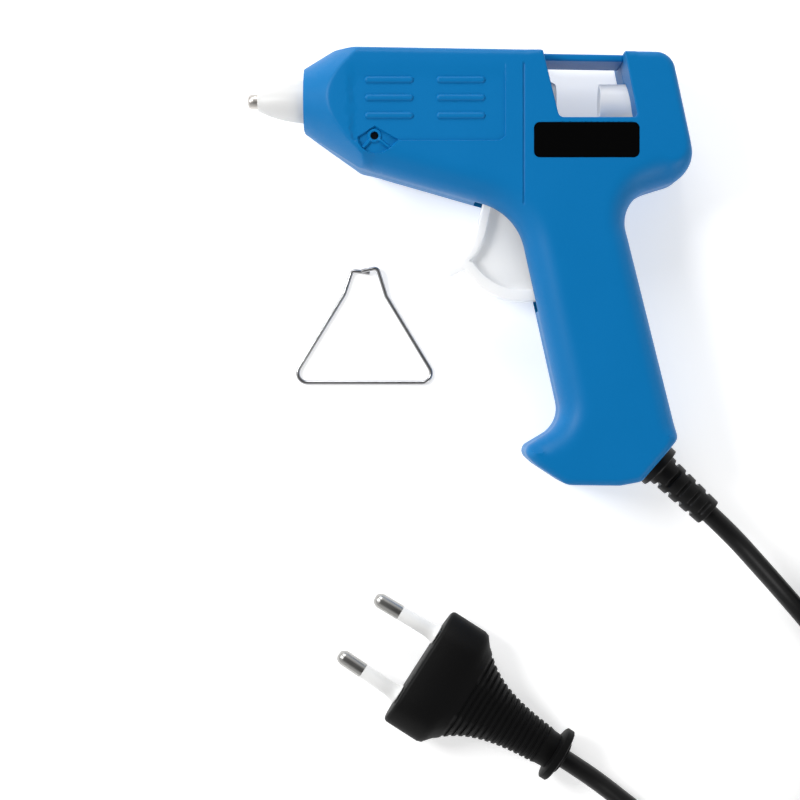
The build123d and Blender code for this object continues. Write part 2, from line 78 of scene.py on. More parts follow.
def soft_light(name, place, target, size, power):
    data = bpy.data.lights.new(name, "AREA")
    data.shape = "DISK"
    data.size = size
    data.energy = power
    lamp = bpy.data.objects.new(name, data)
    lamp.location = place
    lamp.rotation_euler = (Vector(target) - Vector(place)).to_track_quat("-Z", "Y").to_euler()
    bpy.context.scene.collection.objects.link(lamp)


# ------------------------------------------------------------------ finishes

class Value:
    """A node's output that adds and multiplies as a number does."""

    def __init__(self, tree, socket):
        self.tree, self.socket = tree, socket

    def reckon(self, operation, *others):
        step = self.tree.nodes.new("ShaderNodeMath")
        step.operation = operation
        for slot, term in zip(step.inputs, others):
            if isinstance(term, Value):
                self.tree.links.new(term.socket, slot)
            else:
                slot.default_value = term
        return Value(self.tree, step.outputs[0])

    def __add__(self, other):
        return self.reckon("ADD", self, other)

    def __mul__(self, other):
        return self.reckon("MULTIPLY", self, other)

    __radd__, __rmul__ = __add__, __mul__


class Board:
    """A node tree under way."""

    def __init__(self, tree):
        self.tree = tree

    def node(self, kind, settings=None, inputs=None, output=0):
        """Any node: its settings first, then a value or a link for each of its sockets."""
        made = self.tree.nodes.new(kind)
        for key, value in (settings or {}).items():
            setattr(made, key, value)
        for key, value in (inputs or {}).items():
            if isinstance(value, Value):
                self.tree.links.new(value.socket, made.inputs[key])
            else:
                made.inputs[key].default_value = value
        return Value(self.tree, made.outputs[output])


class Finish(Board):
    """A material under way: a Principled shader and what feeds it."""

    def __init__(self, name, **constants):
        self.material = bpy.data.materials.new(name)
        self.material.use_nodes = True
        super().__init__(self.material.node_tree)
        self.shader = self.tree.nodes["Principled BSDF"]
        for key, value in constants.items():
            self.shader.inputs[key.replace("_", " ")].default_value = value
        self.place = self.node("ShaderNodeTexCoord", output="Object")

    def noise(self, size, detail=2.0, stretch=(1, 1, 1)):
        """Soft noise from 0 to 1 whose blots are about this size in metres."""
        scale = [s / size for s in stretch]
        at = self.node("ShaderNodeMapping", inputs={"Vector": self.place, "Scale": scale})
        return self.node("ShaderNodeTexNoise", inputs={"Vector": at, "Scale": 1.0, "Detail": detail})

    def mix(self, share, low, high):
        """Between two colours by a share."""
        return self.node("ShaderNodeMix", {"data_type": "RGBA"}, {0: share, 6: (*low, 1), 7: (*high, 1)}, 2)

    def feed(self, **inputs):
        for key, value in inputs.items():
            self.tree.links.new(value.socket, self.shader.inputs[key.replace("_", " ")])
        return self

    def bump(self, height, distance):
        return self.feed(Normal=self.node("ShaderNodeBump", inputs={"Height": height, "Distance": distance}))


def studio():
    """Soft light from the sides and a darker ceiling, so that faces turned up stay free of a pale sheen."""
    scene = bpy.context.scene
    scene.view_settings.view_transform = "Standard"
    scene.world = bpy.data.worlds.new("studio")
    scene.world.use_nodes = True
    sky = Board(scene.world.node_tree)
    direction = sky.node("ShaderNodeTexCoord", output="Generated")
    up = sky.node("ShaderNodeSeparateXYZ", inputs={"Vector": direction}, output="Z")
    share = sky.node("ShaderNodeMapRange", {"interpolation_type": "SMOOTHSTEP"},
                     {"Value": up, "From Min": 0.55, "From Max": 0.92, "To Min": 1.0, "To Max": 0.10})
    background = sky.tree.nodes["Background"]
    sky.tree.links.new(share.socket, background.inputs["Color"])
    background.inputs["Strength"].default_value = 0.66
    soft_light("top_light", (-0.15, 0.75, 0.50), (0, 0, 0), 0.5, 3.0)
    soft_light("left_light", (-0.60, 0.20, 0.60), (0, 0, 0), 0.3, 3.8)
    soft_light("low_light", (0.50, -0.65, 0.45), (0, 0, 0), 0.4, 1.8)


def shade(colour, factor):
    return tuple(min(1.0, c * factor) for c in colour)


def moulded(name, colour, rough, grain=0.0004, depth=0.00002, spread=0.06, **constants):
    """Moulded plastic or rubber: fine spark grain, faint flow clouds, and patches handled smoother."""
    finish = Finish(name, **constants)
    cloud = finish.noise(0.018, 3.0)
    fine = finish.noise(grain, 3.0)
    finish.feed(Base_Color=finish.mix(cloud, shade(colour, 1 - spread), shade(colour, 1 + spread)),
                Roughness=rough - 0.05 + cloud * 0.06 + fine * 0.05)
    return finish.bump(fine, depth)


def metal(name, colour, rough, stretch=(1, 1, 1), **constants):
    """Bare metal: fine drawn or turned lines, and dull smudges."""
    finish = Finish(name, Metallic=1.0, **constants)
    smudge = finish.noise(0.006, 3.0)
    lines = finish.noise(0.0004, 2.0, stretch)
    finish.feed(Base_Color=finish.mix(smudge, shade(colour, 0.86), shade(colour, 1.08)),
                Roughness=rough + smudge * 0.12 + lines * 0.06)
    return finish.bump(lines, 0.000006)


def hot_metal(name):
    """Turned nozzle metal, straw-brown where it has been hot."""
    finish = Finish(name, Metallic=1.0)
    cloud = finish.noise(0.0025, 3.0)
    rings = finish.noise(0.0003, 1.0, (1, 0.02, 0.02))
    finish.feed(Base_Color=finish.mix(cloud, (0.48, 0.45, 0.42), (0.68, 0.66, 0.63)),
                Roughness=0.28 + cloud * 0.15)
    return finish.bump(rings, 0.00001)


def finishes():
    blue = (0.0, 0.170, 0.452)
    return {
        "blue_housing": moulded("spark_grained_blue", blue, 0.42, grain=0.00035, depth=0.000040, spread=0.035,
                                Specular_IOR_Level=0.20),
        "black_label": moulded("black_film", (0.0012, 0.0012, 0.0013), 0.30, grain=0.0006, depth=0.000003,
                               Specular_IOR_Level=0.08),
        "steel": metal("zinc_plated_steel", (0.58, 0.58, 0.60), 0.25),
        "nozzle_metal": hot_metal("turned_nozzle_metal"),
        "white_silicone": moulded("white_silicone", (0.74, 0.74, 0.735), 0.42, grain=0.0006, depth=0.00001,
                                  spread=0.012, Subsurface_Weight=0.2, Subsurface_Scale=0.0015,
                                  Subsurface_Radius=(1.0, 1.0, 1.0)),
        "cast_aluminium": metal("cast_aluminium", (0.62, 0.62, 0.61), 0.42),
        "amber_film": moulded("amber_film", (0.55, 0.24, 0.03), 0.25, Coat_Weight=0.4),
        "heater_ceramic": moulded("heater_ceramic", (0.33, 0.31, 0.29), 0.6),
        # The emission is a painted glow: it brightens the white nylon where the housing shades it, in place
        # of light that would pass through the plastic.
        "white_plastic": moulded("white_nylon_painted_glow", (0.85, 0.85, 0.845), 0.30, grain=0.0007, depth=0.000008,
                                 spread=0.008, Subsurface_Weight=0.8, Subsurface_Scale=0.003,
                                 Emission_Color=(1.0, 1.0, 1.0, 1.0), Emission_Strength=0.10,
                                 Subsurface_Radius=(1.0, 1.0, 1.0)),
        "brown_insulation": moulded("brown_insulation", (0.16, 0.06, 0.025), 0.35),
        "blue_insulation": moulded("blue_insulation", (0.02, 0.10, 0.50), 0.35),
        "black_cord": moulded("black_sheath", (0.0030, 0.0030, 0.0032), 0.40, grain=0.0009, depth=0.000012,
                              spread=0.15, Specular_IOR_Level=0.25),
        "black_plastic": moulded("black_nylon", (0.005, 0.005, 0.005), 0.45, spread=0.12,
                                 Specular_IOR_Level=0.2),
        "black_plug": moulded("fine_grained_black", (0.0018, 0.0018, 0.0019), 0.50, grain=0.0003,
                              depth=0.00003, spread=0.15, Specular_IOR_Level=0.14),
        "pin_metal": metal("nickel_plated_brass", (0.46, 0.455, 0.44), 0.2),
        "white_pin_sleeve": moulded("white_pin_sleeve", (0.93, 0.93, 0.92), 0.28, depth=0.000006,
                                    spread=0.01),
        "stand_wire": metal("bright_wire", (0.46, 0.46, 0.47), 0.16),
    }


# ------------------------------------------------------------------ making and placing pieces

def only(piece):
    """Leaves this piece alone selected and active."""
    if bpy.context.object and bpy.context.object.mode == "EDIT":
        bpy.ops.object.mode_set(mode="OBJECT")
    bpy.ops.object.select_all(action="DESELECT")
    piece.select_set(True)
    bpy.context.view_layer.objects.active = piece


def put(piece, body, slot, *replaced):
    """Gives a piece its body, its finish and the CAD nodes it stands for."""
    piece.data.materials.clear()
    piece.data.materials.append(FINISH[slot].material)
    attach(piece, body)
    if replaced:
        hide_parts(*replaced)
    return piece


def apply_all(piece):
    only(piece)
    for change in list(piece.modifiers):
        bpy.ops.object.modifier_apply(modifier=change.name)


def rounded(piece, width, segments=3, limit=30):
    """Rounds every edge sharper than the limit, and shades the rest smooth."""
    change = piece.modifiers.new("rounding", "BEVEL")
    change.width, change.segments = width, segments
    change.limit_method, change.angle_limit = "ANGLE", radians(limit)
    apply_all(piece)
    return smooth(piece, 40)


def smooth(piece, limit):
    """Shades smooth across edges blunter than the limit, with flat faces kept flat."""
    only(piece)
    bpy.ops.object.shade_smooth_by_angle(angle=radians(limit))
    change = piece.modifiers.new("even", "WEIGHTED_NORMAL")
    change.keep_sharp = True
    apply_all(piece)
    return piece


def copy_of(node, name):
    """A CAD node's mesh as a piece of its own, merged, with its flat faces whole again."""
    piece = bpy.data.objects.new(name, nodes[node].data.copy())
    bpy.context.scene.collection.objects.link(piece)
    only(piece)
    bpy.ops.object.mode_set(mode="EDIT")
    bpy.ops.mesh.select_all(action="SELECT")
    bpy.ops.mesh.remove_doubles(threshold=0.000002)
    bpy.ops.mesh.dissolve_limited(angle_limit=radians(1.0))
    bpy.ops.object.mode_set(mode="OBJECT")
    return piece


def softened(node, name, grid, passes):
    """A copy of a CAD node with its edges rounded as a mould leaves them."""
    piece = copy_of(node, name)
    change = piece.modifiers.new("grid", "REMESH")
    change.mode, change.voxel_size = "VOXEL", grid
    change = piece.modifiers.new("smooth", "SMOOTH")
    change.factor, change.iterations = 0.5, passes
    apply_all(piece)
    bpy.ops.object.shade_smooth()
    return piece


def turned(name, stations, corners=64, closed=True):
    """A ring drawn out along +X through (place, radius) stations in mm, closed on itself if it is a wall."""
    (x0, r0) = stations[0]
    bpy.ops.object.select_all(action="DESELECT")
    bpy.ops.mesh.primitive_circle_add(vertices=corners, radius=r0 * MM, location=(x0 * MM, 0, 0),
                                      rotation=(0, pi / 2, 0), fill_type="NOTHING")
    piece = bpy.context.object
    piece.name = name
    bpy.ops.object.transform_apply(location=True, rotation=True, scale=True)
    bpy.ops.object.mode_set(mode="EDIT")
    bpy.ops.mesh.select_all(action="SELECT")
    steps = stations[1:] + (stations[:1] if closed else [])
    if not closed:
        bpy.ops.mesh.edge_face_add()
    for (xa, ra), (xb, rb) in zip(stations, steps):
        bpy.ops.mesh.extrude_edges_move()
        bpy.ops.transform.translate(value=((xb - xa) * MM, 0, 0))
        bpy.ops.transform.resize(value=(1, rb / ra, rb / ra), center_override=(xb * MM, 0, 0))
    if not closed:
        bpy.ops.mesh.edge_face_add()
    bpy.ops.mesh.select_all(action="SELECT")
    bpy.ops.mesh.remove_doubles(threshold=0.000002)
    bpy.ops.mesh.normals_make_consistent(inside=False)
    bpy.ops.object.mode_set(mode="OBJECT")
    return piece


def shifted(piece, place, turn=0.0):
    """Turns a piece about the upright, then moves it, and leaves the place in its mesh."""
    piece.data.transform(Matrix.Translation(Vector(place)) @ Matrix.Rotation(turn, 4, "Z"))
    return piece


def slab(name, low, high):
    """A block between two corners in mm, ready for shaping."""
    bpy.ops.object.select_all(action="DESELECT")
    middle = [(a + b) / 2 * MM for a, b in zip(low, high)]
    bpy.ops.mesh.primitive_cube_add(size=1, location=middle)
    piece = bpy.context.object
    piece.name = name
    piece.scale = [(b - a) * MM for a, b in zip(low, high)]
    bpy.ops.object.transform_apply(location=True, rotation=True, scale=True)
    return piece


# ------------------------------------------------------------------ cord

HALF = 12.5  # half the housing's thickness and the height of the parting plane, mm
CORD_D = 5.0
GUN_ROUTE = [(61.48, -63.50, 12.5), (67.33, -68.96, 12.5), (74.6, -76.6, 9.0), (83.0, -85.4, 4.0),
             (91.5, -95.2, 2.6), (97.5, -103.6, 2.9), (104.5, -111.5, 3.3)]
PLUG_ROUTE = [(96.0, -89.6, 7.7), (95.9, -97.2, 8.7), (96.0, -105.8, 8.5), (95.8, -116.5, 4.6),
              (94.6, -128.5, 2.6), (91.0, -142.0, 2.5), (82.0, -151.5, 2.5), (68.5, -154.6, 2.5),
              (56.5, -151.2, 2.5), (46.5, -144.7, 2.7), (37.6, -137.4, 4.9), (31.2, -132.33, 6.85),
              (24.47, -128.01, 6.85)]
COIL_CENTRE = (128.5, -89.6)
COIL_START, COIL_SWEEP = 222.4, 2117.6  # degrees, counter-clockwise
TURN_RADII = [32.5, 27.5, 22.5, 22.5, 27.5, 32.5]
LAYERS = [3.3, 3.3, 3.3, 7.7, 7.7, 7.7]
CHANGE = 0.86  # share of a turn after which it moves over to the next
PER_TURN = 24


def coil_turns():
    """Points of the put-away turns: three side by side, then three on top of them."""
    steps = round(COIL_SWEEP / 360 * PER_TURN)
    points = []
    for i in range(1, steps):
        swept = COIL_SWEEP * i / steps / 360
        turn = int(swept)
        after = min(turn + 1, len(TURN_RADII) - 1)
        share = max(0.0, (swept - turn - CHANGE) / (1 - CHANGE))
        r = TURN_RADII[turn] + (TURN_RADII[after] - TURN_RADII[turn]) * share
        z = LAYERS[turn] + (LAYERS[after] - LAYERS[turn]) * share
        a = radians(COIL_START + 360 * swept)
        points.append((COIL_CENTRE[0] + r * cos(a), COIL_CENTRE[1] + r * sin(a), z))
    return points


def mains_cord():
    data = bpy.data.curves.new("mains_cord", "CURVE")
    data.dimensions = "3D"
    line = data.splines.new("NURBS")
    route = GUN_ROUTE + coil_turns() + PLUG_ROUTE
    line.points.add(len(route) - 1)
    for point, place in zip(line.points, route):
        point.co = (*[c * MM for c in place], 1)
    line.order_u = 3
    line.use_endpoint_u = True
    line.resolution_u = 6
    data.bevel_depth = CORD_D / 2 * MM
    data.bevel_resolution = 6
    data.use_fill_caps = True
    cord = bpy.data.objects.new("mains_cord", data)
    bpy.context.scene.collection.objects.link(cord)
    return cord


# ------------------------------------------------------------------ housing

# Side view: corner, radius of the corner, and the rounding of the edge that runs on from it, mm
OUTLINE = [
    ((-42.8, 34.4), 1.2, 0.5), ((-42.8, 50.9), 1.2, 1.8), ((-35.8, 55.0), 3, 1.9),
    ((17.81, 54.10), 0.5, 0.35),
    ((22.0, 36.9), 1.5, 0.35), ((41.8, 36.9), 0.8, 0.35), ((38.36, 53.75), 0.5, 1.9), ((50.5, 53.55), 5, 1.9),
    ((57.1, 22.75), 7.5, 8.0), ((37.25, 16.5), 9, 5.0), ((52.4, -44.2), 2.5, 2.0), ((42.9, -55.1), 2.3, 1.8),
    ((37.5, -56.1), 5, 1.8), ((24.0, -55.95), 5, 2.0), ((16.3, -50.9), 4, 2.4), ((12.2, -47.2), 2.3, 6.0),
    ((23.5, -40.3), 7.5, 7.8), ((11.6, 13.25), 15, 7.6), ((-28.4, 24.75), 4, 4.0),
]
WALL = 2.0
LEAST_AREA = 0.00001  # mm2, under which a triangle is only three points of one straight run
NOSE_X, NOSE_Y, NOSE_R, NOSE_FLARE, NOSE_DROP, NOSE_REACH = -42.8, 42.7, 8.2, 0.68, 1.9 / 24, 24
PANEL = dict(left=-30.5, right=8.4, low=31.0, high=51.5, depth=0.5)
RIB_COLUMNS, RIB_ROWS = (-20.9, -2.8), (37.3, 41.8, 46.3)
RIB_HALF, RIB_R, RIB_RISE = 6.15, 0.85, 0.55
GROOVE_X, GROOVE_LOW, GROOVE_HIGH = 13.1, 15.2, 50.6
LABEL = (15.6, 42.2, 26.7, 35.6)
LABEL_R, LABEL_SINK = 1.5, 0.45
LABEL_GAP, LABEL_TOP, LABEL_THICK = 0.06, 0.03, 0.4
STAND_HOLE, STAND_HOLE_R = (-24.6, 32.3), 1.05
POCKET = [(0.1, 2.4), (-4.3, -0.4), (-3.9, -1.9), (-3.0, -3.2), (-1.6, -4.2), (0.1, -4.6), (2.0, -4.3),
          (3.7, -3.4), (6.1, -1.1)]
POCKET_WALLS = [(-133, 4.2), (-38, 5.0)]  # direction in degrees and reach of the two walls in it
POCKET_DEPTH = 1.2
RING_DEPTHS = [0.03, 0.12, 0.27, 0.45, 0.7, 1.0, 1.4, 1.9, 2.5, 3.2, 4.0, 5.0, 6.1, 7.2, 8.3]
CONE_RINGS = [9.6, 11.0]
SCREWS = [(-28.0, 51.7), (46.0, 50.4), (35.0, 10.0), (27.0, -49.0)]
RELIEF_START, RELIEF_ANGLE = (47.0, -50.0), -43.0


def unit(v):
    return v / np.linalg.norm(v)


def rounded_loop(corners, step=0.8, arc_step=0.5):
    """Dense closed line through rounded corners, and the edge rounding at each of its points."""
    line, rounding = [], []
    count = len(corners)
    for i, (_, r, after) in enumerate(corners):
        before = corners[i - 1][2]
        a, b, c = (np.array(corners[k % count][0], float) for k in (i - 1, i, i + 1))
        u, v = unit(a - b), unit(c - b)
        half = np.arccos(np.clip(u @ v, -1, 1)) / 2
        start = b + u * r / tan(half)
        centre = b + unit(u + v) * r / sin(half)
        if line:
            gap = start - line[-1]
            runs = max(1, ceil(np.linalg.norm(gap) / step))
            line += [line[-1] + gap * k / runs for k in range(1, runs)] if runs > 1 else []
            rounding += [before] * (runs - 1)
        sweep = pi - 2 * half
        bends = max(3, ceil(r * sweep / arc_step), ceil(sweep / radians(12)))
        first = start - centre
        side = np.sign(u[0] * v[1] - u[1] * v[0])
        for k in range(bends + 1):
            t = -side * sweep * k / bends
            spun = np.array((first[0] * cos(t) - first[1] * sin(t), first[0] * sin(t) + first[1] * cos(t)))
            line.append(centre + spun)
            rounding.append(before + (after - before) * k / bends)
    gap = line[0] - line[-1]
    runs = max(1, ceil(np.linalg.norm(gap) / step))
    last = line[-1]
    line += [last + gap * k / runs for k in range(1, runs)]
    rounding += [corners[-1][2]] * (runs - 1)
    return np.array(line), np.array(rounding)


def eased(rounding, line, reach=3.0):
    """Lets the edge rounding change gradually along the rim, but leaves the window's own edges crisp."""
    out = rounding.copy()
    seam = np.linalg.norm(line - np.roll(line, 1, axis=0), axis=1)
    along = np.cumsum(seam)
    total = along[-1]
    for i in range(len(line)):
        if rounding[i] < 0.6:
            continue
        gap = np.abs(along - along[i])
        near = (np.minimum(gap, total - gap) < reach) & (rounding > 0.6)
        out[i] = rounding[near].mean()
    return out


def inward(line):
    """Unit normals that point into a closed line, either way round."""
    ahead = np.roll(line, -1, axis=0) - np.roll(line, 1, axis=0)
    normal = np.stack((-ahead[:, 1], ahead[:, 0]), 1)
    normal /= np.linalg.norm(normal, axis=1)[:, None]
    x, y = line.T
    area = (x * np.roll(y, -1) - np.roll(x, -1) * y).sum()
    return normal if area > 0 else -normal


def from_line(points, line, values):
    """Distance from each point to a closed line, and the line's value there."""
    a, b = line, np.roll(line, -1, axis=0)
    run = b - a
    length = (run ** 2).sum(1)
    near, found = np.empty(len(points)), np.empty(len(points))
    after = np.roll(values, -1)
    for i in range(0, len(points), 2000):
        p = points[i:i + 2000, None, :]
        t = (((p - a) * run).sum(2) / length).clip(0, 1)
        d = np.linalg.norm(p - a - t[:, :, None] * run, axis=2)
        best = d.argmin(1)
        rows = np.arange(len(best))
        near[i:i + 2000] = d[rows, best]
        share = t[rows, best]
        found[i:i + 2000] = values[best] * (1 - share) + after[best] * share
    return near, found


def inside(points, line):
    """Which points lie inside a closed line."""
    x, y = points[:, :1], points[:, 1:]
    (xa, ya), (xb, yb) = line.T, np.roll(line, -1, axis=0).T
    crosses = ((ya > y) != (yb > y)) & (x < (xb - xa) * (y - ya) / (yb - ya + 1e-12) + xa)
    return crosses.sum(1) % 2 == 1


def step(edge, width):
    """1 inside a shape, 0 outside it, over a soft edge of this width. edge is negative inside."""
    t = np.clip(0.5 - edge / width, 0, 1)
    return t * t * (3 - 2 * t)


def box_edge(p, low, high, r):
    """Signed distance to a rounded rectangle."""
    middle, half = (np.array(low) + high) / 2, (np.array(high) - low) / 2 - r
    away = np.abs(p - middle) - half
    return np.linalg.norm(np.maximum(away, 0), axis=1) + np.minimum(away.max(1), 0) - r


def fan():
    return np.array([(STAND_HOLE[0] + x, STAND_HOLE[1] + y) for x, y in POCKET])


def polygon_edge(p, corners):
    far, _ = from_line(p, corners, np.zeros(len(corners)))
    return np.where(inside(p, corners), -far, far)


def soft_least(a, b, k):
    """The smaller of two heights, with the crease between them rounded off."""
    h = np.clip(0.5 + 0.5 * (b - a) / k, 0, 1)
    return b * (1 - h) + a * h - k * h * (1 - h)


def crown(p, line, rounding):
    """Height of the bare side over the parting plane: rounded rim, flat side and nose cone."""
    d, r = from_line(p, line, rounding)
    inset = np.minimum(d, r)
    rim = HALF - r + np.sqrt(np.maximum(r * r - (r - inset) ** 2, 0))
    reach = p[:, 0] - NOSE_X
    cone_r = NOSE_R + NOSE_FLARE * reach
    off = p[:, 1] - NOSE_Y + NOSE_DROP * reach
    cone = np.where(reach < NOSE_REACH, np.sqrt(np.maximum(cone_r ** 2 - off ** 2, 0.2)), 2 * HALF)
    return np.maximum(soft_least(rim, cone, 0.5), 0.5)


def side_height(p, line, rounding, labelled):
    """Height of one side of the housing over the parting plane, with everything moulded into it."""
    z = crown(p, line, rounding)
    x, y = p.T
    panel = step(box_edge(p, (PANEL["left"], PANEL["low"]), (PANEL["right"], 60), 1.0), 0.22)
    fade = np.clip((PANEL["high"] - y) / 5.5, 0, 1)
    floor = HALF - PANEL["depth"] * panel * fade * fade * (3 - 2 * fade)
    rise = np.zeros(len(p))
    for column in RIB_COLUMNS:
        for row in RIB_ROWS:
            spine = np.clip(x, column - RIB_HALF + RIB_R, column + RIB_HALF - RIB_R)
            u = np.clip(1 - np.hypot(x - spine, y - row) / RIB_R, 0, 1)
            rise = np.maximum(rise, RIB_RISE * np.sqrt(1 - (1 - u) ** 2))
    z = soft_least(z, np.maximum(floor, 0), 0.08) + rise * (crown(p, line, rounding) > HALF - 0.3)
    groove = step(np.maximum(np.abs(x - GROOVE_X) - 0.24, np.maximum(GROOVE_LOW - y, y - GROOVE_HIGH)), 0.3)
    z = z - 0.35 * groove
    if labelled:
        z = z - LABEL_SINK * step(box_edge(p, (LABEL[0], LABEL[2]), (LABEL[1], LABEL[3]), LABEL_R), 0.08)
    pocket = step(polygon_edge(p, fan()), 0.4)
    u, v = x - STAND_HOLE[0], y - STAND_HOLE[1]
    wall = np.zeros(len(p))
    for angle, reach in POCKET_WALLS:
        a = radians(angle)
        ahead, beside = u * cos(a) + v * sin(a), np.abs(v * cos(a) - u * sin(a))
        wall = np.maximum(wall, step(np.maximum(beside - 0.35, np.maximum(1.5 - ahead, ahead - reach)), 0.3))
    boss = step(np.hypot(u, v) - 1.75, 0.3)
    floor = HALF - POCKET_DEPTH * pocket * (1 - 0.55 * wall) * (1 - 0.35 * boss * (1 - wall))
    return np.minimum(z, floor)


def offset_line(line, away):
    return line + inward(line) * away


def feature_points(labelled):
    """Points along the edges of what is moulded into the side, so that the mesh follows them."""
    found = []

    def ring(corners, radii, aways, gap):
        loop, _ = rounded_loop([(c, r, 1) for c, r in zip(corners, radii)], gap, gap)
        for away in aways:
            found.append(offset_line(loop, away))

    for column in RIB_COLUMNS:
        for row in RIB_ROWS:
            a, b = column - RIB_HALF, column + RIB_HALF
            for inset in (-0.06, 0.02, 0.10, 0.24, 0.44, 0.68):
                r = RIB_R - inset
                box = [(a + inset, row - r), (b - inset, row - r), (b - inset, row + r), (a + inset, row + r)]
                ring(box, [r * 0.98] * 4, (0,), 0.55)
            found.append(np.array([(x, row) for x in np.arange(a + RIB_R, b - RIB_R + 0.01, 0.6)]))
    for away in (-0.13, -0.06, 0.0, 0.06, 0.13):
        along = np.arange(-32.0, PANEL["right"] - 1.0, 0.6)
        found.append(np.stack((along, np.full(len(along), PANEL["low"] + away)), 1))
        up = np.arange(PANEL["low"] + 1.0, PANEL["high"], 0.6)
        found.append(np.stack((np.full(len(up), PANEL["right"] + away), up), 1))
    for away in (-0.40, -0.30, -0.18, 0.0, 0.18, 0.30, 0.40):
        up = np.arange(GROOVE_LOW - 0.4, GROOVE_HIGH + 0.4, 0.5)
        found.append(np.stack((np.full(len(up), GROOVE_X + away), up), 1))
    if labelled:
        x0, x1, y0, y1 = LABEL
        ring([(x0, y0), (x1, y0), (x1, y1), (x0, y1)], [LABEL_R] * 4, (-0.045, 0.0, 0.045), 0.5)
    ring(fan(), [0.4] * len(POCKET), (-0.3, -0.2, -0.1, 0.0, 0.1, 0.2, 0.3), 0.35)
    for angle, reach in POCKET_WALLS:
        a = radians(angle)
        for beside in (-0.5, -0.4, -0.3, -0.2, 0.0, 0.2, 0.3, 0.4, 0.5):
            for ahead in np.arange(1.7, reach + 0.4, 0.35):
                found.append(np.array([(STAND_HOLE[0] + ahead * cos(a) - beside * sin(a),
                                        STAND_HOLE[1] + ahead * sin(a) + beside * cos(a))]))
    for r in (1.15, 1.6, 1.7, 1.8, 1.9):
        found.append(np.array([(STAND_HOLE[0] + r * cos(t), STAND_HOLE[1] + r * sin(t))
                               for t in np.linspace(0, 2 * pi, 24, endpoint=False)]))
    return found


def crease_points():
    """Points along the curve where the nose cone runs into the flat side."""
    found = []
    for reach in np.concatenate((np.arange(6.34, 8, 0.12), np.arange(8, 20, 0.45))):
        cone_r = NOSE_R + NOSE_FLARE * reach
        off = np.sqrt(max(cone_r ** 2 - HALF ** 2, 0))
        for side in (-1, 1):
            for away in (-0.5, -0.2, 0.0, 0.25, 0.6):
                found.append((NOSE_X + reach - away, NOSE_Y - NOSE_DROP * reach + side * off))
    return np.array(found)


def spread_points(line, labelled):
    """All points of the side's mesh inside its rim, from the fine families to the coarse grid."""
    normal = inward(line)
    kept = [line]
    zero = np.zeros(len(line))

    def add(points, gap, clear=0.0):
        points = points[inside(points, line)]
        far, _ = from_line(points, line, zero)
        points = points[far > max(clear, 0.02)]
        tree = KDTree(sum(len(k) for k in kept))
        for n, q in enumerate(np.concatenate(kept)):
            tree.insert((*q, 0), n)
        tree.balance()
        fresh = [q for q in points if tree.find((*q, 0))[2] > gap]
        if fresh:
            kept.append(np.array(fresh))

    for depth in RING_DEPTHS[:8]:
        add(line + normal * depth, 0.015, depth * 0.985)
    for family in feature_points(labelled):
        add(family, 0.05)
    add(crease_points(), 0.12)
    for n, depth in enumerate(RING_DEPTHS[8:] + CONE_RINGS):
        add((line + normal * depth)[n % 2::2], 0.35, depth * 0.985)
    low, high = line.min(0), line.max(0)
    for gap, reach in ((0.9, NOSE_X + 20), (2.2, 100)):
        grid = np.stack(np.meshgrid(np.arange(low[0], min(high[0], reach), gap),
                                    np.arange(low[1], high[1], gap)), -1).reshape(-1, 2)
        grid[:, 0] += (np.round(grid[:, 1] / gap) % 2) * gap / 2
        add(grid, gap * 0.7, 0.6)
    return np.concatenate(kept)


def triangles(points, loops):
    """Triangles over points within closed loops, which are the first points, one loop after another."""
    edges, start = [], 0
    for count in loops:
        edges += [(start + k, start + (k + 1) % count) for k in range(count)]
        start += count
    found = delaunay_2d_cdt([Vector(p) for p in points], edges, [], 0, 1e-6)
    flat = np.array([v[:] for v in found[0]])
    a, b, c = (flat[[f[k] for f in found[2]]] for k in range(3))
    area = (b - a)[:, 0] * (c - a)[:, 1] - (b - a)[:, 1] * (c - a)[:, 0]
    middle = (a + b + c) / 3
    wanted = inside(middle, points[:loops[0]]) & (np.abs(area) > LEAST_AREA)
    if len(loops) > 1:
        wanted &= ~inside(middle, points[loops[0]:loops[0] + loops[1]])
    return flat, [list(f) for f, w in zip(found[2], wanted) if w]


def rim_of(faces):
    """The boundary of a patch of faces, in order."""
    ahead = {}
    paired = {(f[k], f[(k + 1) % len(f)]) for f in faces for k in range(len(f))}
    for a, b in paired:
        if (b, a) not in paired:
            ahead[a] = b
    first = next(iter(ahead))
    chain = [first]
    while ahead[chain[-1]] != first:
        chain.append(ahead[chain[-1]])
    return chain


